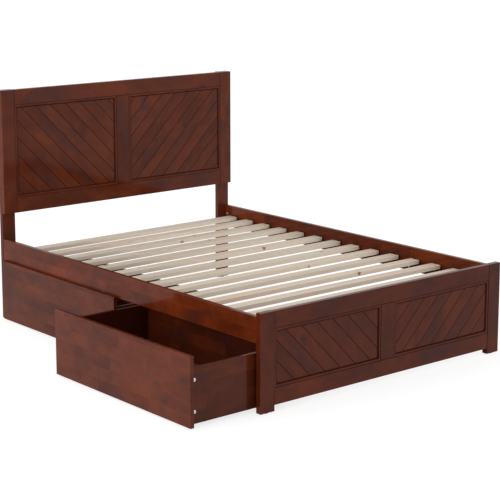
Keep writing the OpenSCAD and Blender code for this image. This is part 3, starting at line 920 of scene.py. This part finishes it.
def stick(work, begin, finish, inward, number):
    """One stick: its profile drawn along, then mitred at both ends."""
    sizes = bpy.context.scene.bed_sizes
    bm = work.bm
    along = (finish - begin).normalized()
    before = set(bm.verts)
    ring = [
        bm.verts.new(begin + inward * reach - Y * rise)
        for reach, rise in moulding_profile(sizes)
    ]
    face = bm.faces.new(ring)
    grown = bmesh.ops.extrude_face_region(bm, geom=[face])["geom"]
    moved = [part for part in grown if isinstance(part, bmesh.types.BMVert)]
    bmesh.ops.translate(bm, vec=finish - begin, verts=moved)
    for point, outward in (
        (begin, (inward - along).normalized()),
        (finish, (inward + along).normalized()),
    ):
        mine = [vert for vert in bm.verts if vert not in before]
        cut = bmesh.ops.bisect_plane(
            bm,
            geom=flat_of(mine),
            dist=CUT_REACH,
            plane_co=point,
            plane_no=outward,
            clear_outer=True,
        )
        rim = [part for part in cut["geom_cut"] if isinstance(part, bmesh.types.BMEdge)]
        bmesh.ops.edgeloop_fill(bm, edges=rim)
    mine = [vert for vert in bm.verts if vert not in before]
    work.set_grain(mine, begin, along, inward, number)
    shelf = begin - Y * sizes.moulding_height
    end_face, flush, sunk_by = 0.2, 1e-5, 0.0002
    for face in {face for vert in mine for face in vert.link_faces}:
        middle = face.calc_center_median()
        reach = (middle - begin).dot(inward)
        mitre = abs(face.normal.dot(along)) > end_face
        glued = abs(middle.y - begin.y) < flush
        sunk = (middle - shelf).y > sunk_by
        if sunk and not mitre and not glued:
            work.mark([face], "painted_shading_and_joints", reach > sizes.moulding_flat)


def leg_screw_holes(side):
    """Countersunk holes in the back of a headboard leg."""
    sizes = bpy.context.scene.bed_sizes
    low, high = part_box("headboard_stile_right")
    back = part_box("headboard_leg_right")[1]
    inset, first, count = 0.024, 0.032, 4
    span = high.z - low.z - 2 * first
    heights = [low.z + first + span * i / (count - 1) for i in range(count)]
    return [
        (
            Vector((side * (back.x - inset), back.y, height)),
            -Y,
            sizes.screw_head,
            SCREW_SINK,
        )
        for height in heights
    ]


def make_middle(end, outline):
    """An end's rails, centre stile and mouldings."""
    opening = opening_of(end)
    half, bottom, top, _ = opening
    for node in (end + "_top_rail", end + "_bottom_rail"):
        low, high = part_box(node)
        low.x, high.x = -half, half
        make_board(node, end, low, high, along=X, frame_box=outline)
    node = end + "_centre_stile"
    low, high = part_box(node)
    low.z, high.z = bottom, top
    make_board(node, end, low, high, along=Z, frame_box=outline)
    panel_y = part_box(end + "_panel_right")[0].y
    moulding(end + "_mouldings", opening, panel_y)


def make_headboard():
    """The headboard's legs, face frame, planks and mouldings."""
    outline = outline_of("headboard")
    for name, side in SIDES:
        make_board(
            "headboard_leg_" + name, "headboard", along=Z, holes=leg_screw_holes(side)
        )
        make_board("headboard_stile_" + name, "headboard", along=Z, frame_box=outline)
        planks("headboard_panel_" + name, side)
    make_middle("headboard", outline)


def make_footboard():
    """The footboard's legs, rails, planks and mouldings."""
    outline = outline_of("footboard")
    for name, side in SIDES:
        make_board("footboard_leg_" + name, "footboard", along=Z, frame_box=outline)
        planks("footboard_panel_" + name, side)
    make_middle("footboard", outline)


# ------------------------------------------------------------ rails and deck


def cam_places(node, inner_x):
    """The centres of the cams on a side rail's inner face."""
    rail_low, rail_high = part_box(node)
    back, inset = 0.019, 0.044
    return [
        Vector((inner_x, y, z))
        for y in (rail_low.y + back, rail_high.y - back)
        for z in (rail_low.z + inset, rail_high.z - inset)
    ]


def make_rails():
    """The two side rails and the cleats that carry the slats."""
    sizes = bpy.context.scene.bed_sizes
    screws = 6
    for name, side in SIDES:
        node = "side_rail_" + name
        low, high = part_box(node)
        inner = low.x if side > 0 else high.x
        holes = [
            (place, X * side, sizes.cam_diameter, CAM_DEPTH)
            for place in cam_places(node, inner)
        ]
        make_board(node, "side_rails", along=Y, holes=holes)
        node = "slat_cleat_" + name
        low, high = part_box(node)
        face = low.x if side > 0 else high.x
        length_y = high.y - low.y
        height = (low.z + high.z) / 2
        places = [low.y + length_y * (i + 0.5) / screws for i in range(screws)]
        holes = [
            (Vector((face, y, height)), X * side, sizes.screw_head, SCREW_SINK)
            for y in places
        ]
        # Painted shade: the cleat's top and inner face take the dark groove colour, as
        # if shaded under the slats.
        make_board(node, "drawer_sides", along=Y, holes=holes, facing=(Z, -X * side))


def make_slats():
    """The planed slats."""
    sizes = bpy.context.scene.bed_sizes
    for i in range(1, SLAT_COUNT + 1):
        # Painted light: both long sides are marked, and the pine finish makes them
        # paler.
        make_board(
            f"slat_{i:02d}", "pale_pine", along=X, edge=sizes.slat_edge, facing=(Y, -Y)
        )


# ------------------------------------------------------------------- drawers


def side_holes(side_node, outward):
    """Cam holes near the front and screw holes near the back of a drawer's side."""
    sizes = bpy.context.scene.bed_sizes
    low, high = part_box(side_node)
    face = low.y if outward < 0 else high.y
    inset, cam_back, half_back = 0.050, 0.010, 0.0075
    holes = []
    for z in (low.z + inset, high.z - inset):
        cam = Vector((low.x + cam_back, face, z))
        screw = Vector((high.x - half_back, face, z))
        holes.append((cam, -Y * outward, sizes.cam_diameter, CAM_DEPTH))
        holes.append((screw, -Y * outward, BACK_SCREW_HEAD, BACK_SCREW_SINK))
    return holes


def make_drawer(which):
    """One drawer's front, sides, back and bottom."""
    make_board(which + "_front", "staves", along=Y)
    for part, outward in (("_side_near", -1), ("_side_far", 1)):
        node = which + part
        holes = side_holes(node, outward)
        # Painted shade: each side's inner face takes the dark groove colour, as if the
        # inside of the drawer were shaded.
        make_board(node, "drawer_sides", along=X, holes=holes, facing=(-Y * outward,))
    make_board(which + "_back", "staves", along=Y)
    make_board(which + "_bottom", "plywood", along=Y, edge=0.0005)


def make_wheels(which, end):
    """A pair of moulded wheels with rounded treads and hubs."""
    sizes = bpy.context.scene.bed_sizes
    node = f"{which}_{end}_wheels"
    low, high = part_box(node)
    radius = (high.z - low.z) / 2
    axis_x = (low.x + high.x) / 2
    axis_z = (low.z + high.z) / 2
    thick = 0.016
    bore_r, hub_r, rim_r = 0.00258, 0.0065, radius - 0.004
    half, web, lip = thick / 2, 0.0025, 0.0016
    draft, corner = 0.0006, 0.0005
    outline = (
        (bore_r, -half),
        (hub_r - draft, -half),
        (hub_r, -half + draft),
        (hub_r + draft, -web),
        (rim_r - draft, -web),
        (rim_r, -half + corner),
        (rim_r + corner, -half),
        (radius - lip, -half),
        (radius - lip * 0.3, -half + lip * 0.3),
        (radius, -half + lip),
    )
    outline = outline + tuple((r, -y) for r, y in reversed(outline))
    work = Work()
    bm = work.bm
    for middle_y in (low.y + half, high.y - half):
        centre = Vector((axis_x, middle_y, axis_z))
        ring = [bm.verts.new(centre + X * r + Y * y) for r, y in outline]
        edges = [
            bm.edges.new((ring[i], ring[(i + 1) % len(ring)])) for i in range(len(ring))
        ]
        bmesh.ops.spin(
            bm,
            geom=ring + edges,
            cent=centre,
            axis=Y,
            angle=radians(360),
            steps=sizes.wheel_segments,
            use_merge=True,
        )
    bmesh.ops.remove_doubles(bm, verts=bm.verts, dist=1e-6)
    for face in bm.faces:
        face.smooth = True
    body = f"{which}_{end}_wheel_pair"
    piece = work.done(
        node + "_moulded", "black_nylon", body, [node]
    )
    piece.data.set_sharp_from_angle(angle=radians(40))
    return piece


# --------------------------------------------------------------------- stage


def look_down(azimuth, pitch):
    """A camera's turn, level with the floor before it is pitched."""
    return Euler((radians(90 - pitch), 0, radians(-azimuth)), "XYZ")


def make_stage():
    """The floor, the light and the camera."""
    scene = bpy.context.scene
    bm = bmesh.new()
    bmesh.ops.create_grid(bm, x_segments=1, y_segments=1, size=30.0)
    mesh = bpy.data.meshes.new("floor")
    bm.to_mesh(mesh)
    bm.free()
    mesh.materials.append(FINISHES["floor"])
    floor = bpy.data.objects.new("floor", mesh)
    scene.collection.objects.link(floor)

    world = bpy.data.worlds.new("soft_white")
    world.use_nodes = True
    sky = world.node_tree.nodes["Background"]
    sky.inputs["Color"].default_value = (1.0, 1.0, 1.0, 1.0)
    sky.inputs["Strength"].default_value = 1.0
    scene.world = world

    place, middle_of_bed = Vector((-4.6, -0.2, 1.4)), Vector((0, 0, 0.5))
    lamp = bpy.data.lights.new("left_softbox", "AREA")
    lamp.shape = "SQUARE"
    lamp.size = 2.4
    lamp.energy = 88.0
    light = bpy.data.objects.new("left_softbox", lamp)
    light.location = place
    # Lacquer seen edge-on would mirror the lamp as a white patch
    light.visible_glossy = False
    aim = middle_of_bed - place
    light.rotation_euler = aim.to_track_quat("-Z", "Y").to_euler()
    scene.collection.objects.link(light)

    lens = bpy.data.cameras.new("camera")
    lens.sensor_width = 36.0
    lens.lens = 111.6
    lens.shift_y = -0.10
    lens.clip_end = 200.0
    camera = bpy.data.objects.new("camera", lens)
    camera.location = (-4.563, -5.527, 1.996)
    camera.rotation_euler = look_down(azimuth=39.91, pitch=10.62)
    scene.collection.objects.link(camera)
    scene.camera = camera
    scene.view_settings.view_transform = "Standard"


def finish_fittings():
    """Gives each part that is still the frame's own its finish."""
    for node, piece in frame["nodes"].items():
        slot = SLOT_OF_NODE[node]
        finish = FINISHES.get(slot, FINISHES["headboard"])
        for holder in piece.material_slots:
            holder.material = finish


# ----------------------------------------------------------------- operators


class BED_OT_finishes(bpy.types.Operator):
    """Make the stain, pine, plywood, zinc and nylon finishes"""

    bl_idname = "bed.finishes"
    bl_label = "Finishes and Fittings"

    def execute(self, context):
        make_finishes(context.scene)
        finish_fittings()
        return {"FINISHED"}


class BED_OT_stage(bpy.types.Operator):
    """Set up the floor, the light and the camera"""

    bl_idname = "bed.stage"
    bl_label = "Stage"

    def execute(self, context):
        make_stage()
        return {"FINISHED"}


class BED_OT_headboard(bpy.types.Operator):
    """Build the headboard's boards, planks and mouldings"""

    bl_idname = "bed.headboard"
    bl_label = "Headboard"

    def execute(self, context):
        make_headboard()
        return {"FINISHED"}


class BED_OT_footboard(bpy.types.Operator):
    """Build the footboard's boards, planks and mouldings"""

    bl_idname = "bed.footboard"
    bl_label = "Footboard"

    def execute(self, context):
        make_footboard()
        return {"FINISHED"}


class BED_OT_rails(bpy.types.Operator):
    """Build the side rails and the slat cleats"""

    bl_idname = "bed.rails"
    bl_label = "Side Rails"

    def execute(self, context):
        make_rails()
        return {"FINISHED"}


class BED_OT_slats(bpy.types.Operator):
    """Build the slats"""

    bl_idname = "bed.slats"
    bl_label = "Slats"

    def execute(self, context):
        make_slats()
        return {"FINISHED"}


class BED_OT_drawers(bpy.types.Operator):
    """Build both drawers' boards"""

    bl_idname = "bed.drawers"
    bl_label = "Drawers"

    def execute(self, context):
        for which in DRAWERS:
            make_drawer(which)
        return {"FINISHED"}


class BED_OT_wheels(bpy.types.Operator):
    """Build the drawers' wheels"""

    bl_idname = "bed.wheels"
    bl_label = "Drawer Wheels"

    def execute(self, context):
        for which in DRAWERS:
            for end in ("front", "rear"):
                make_wheels(which, end)
        return {"FINISHED"}


class BED_PT_panel(bpy.types.Panel):
    """Lists the bed's sizes, colours and pieces"""

    bl_idname = "BED_PT_panel"
    bl_label = "Platform Bed"
    bl_space_type = "VIEW_3D"
    bl_region_type = "UI"
    bl_category = "Bed"

    def draw(self, context):
        layout = self.layout
        for group in (context.scene.bed_sizes, context.scene.bed_colours):
            column = layout.column()
            for name in group.bl_rna.properties.keys():
                if name not in ("rna_type", "name"):
                    column.prop(group, name)
        for operator in STEPS:
            layout.operator(operator.bl_idname)


STEPS = (
    BED_OT_finishes,
    BED_OT_stage,
    BED_OT_headboard,
    BED_OT_footboard,
    BED_OT_rails,
    BED_OT_slats,
    BED_OT_drawers,
    BED_OT_wheels,
)
CLASSES = (BedSizes, BedColours, *STEPS, BED_PT_panel)


def register():
    for cls in CLASSES:
        bpy.utils.register_class(cls)
    bpy.types.Scene.bed_sizes = PointerProperty(type=BedSizes)
    bpy.types.Scene.bed_colours = PointerProperty(type=BedColours)


def unregister():
    del bpy.types.Scene.bed_colours
    del bpy.types.Scene.bed_sizes
    for cls in reversed(CLASSES):
        bpy.utils.unregister_class(cls)


def main():
    register()
    bpy.ops.bed.finishes()
    bpy.ops.bed.stage()
    bpy.ops.bed.headboard()
    bpy.ops.bed.footboard()
    bpy.ops.bed.rails()
    bpy.ops.bed.slats()
    bpy.ops.bed.drawers()
    bpy.ops.bed.wheels()


if __name__ == "__main__":
    main()
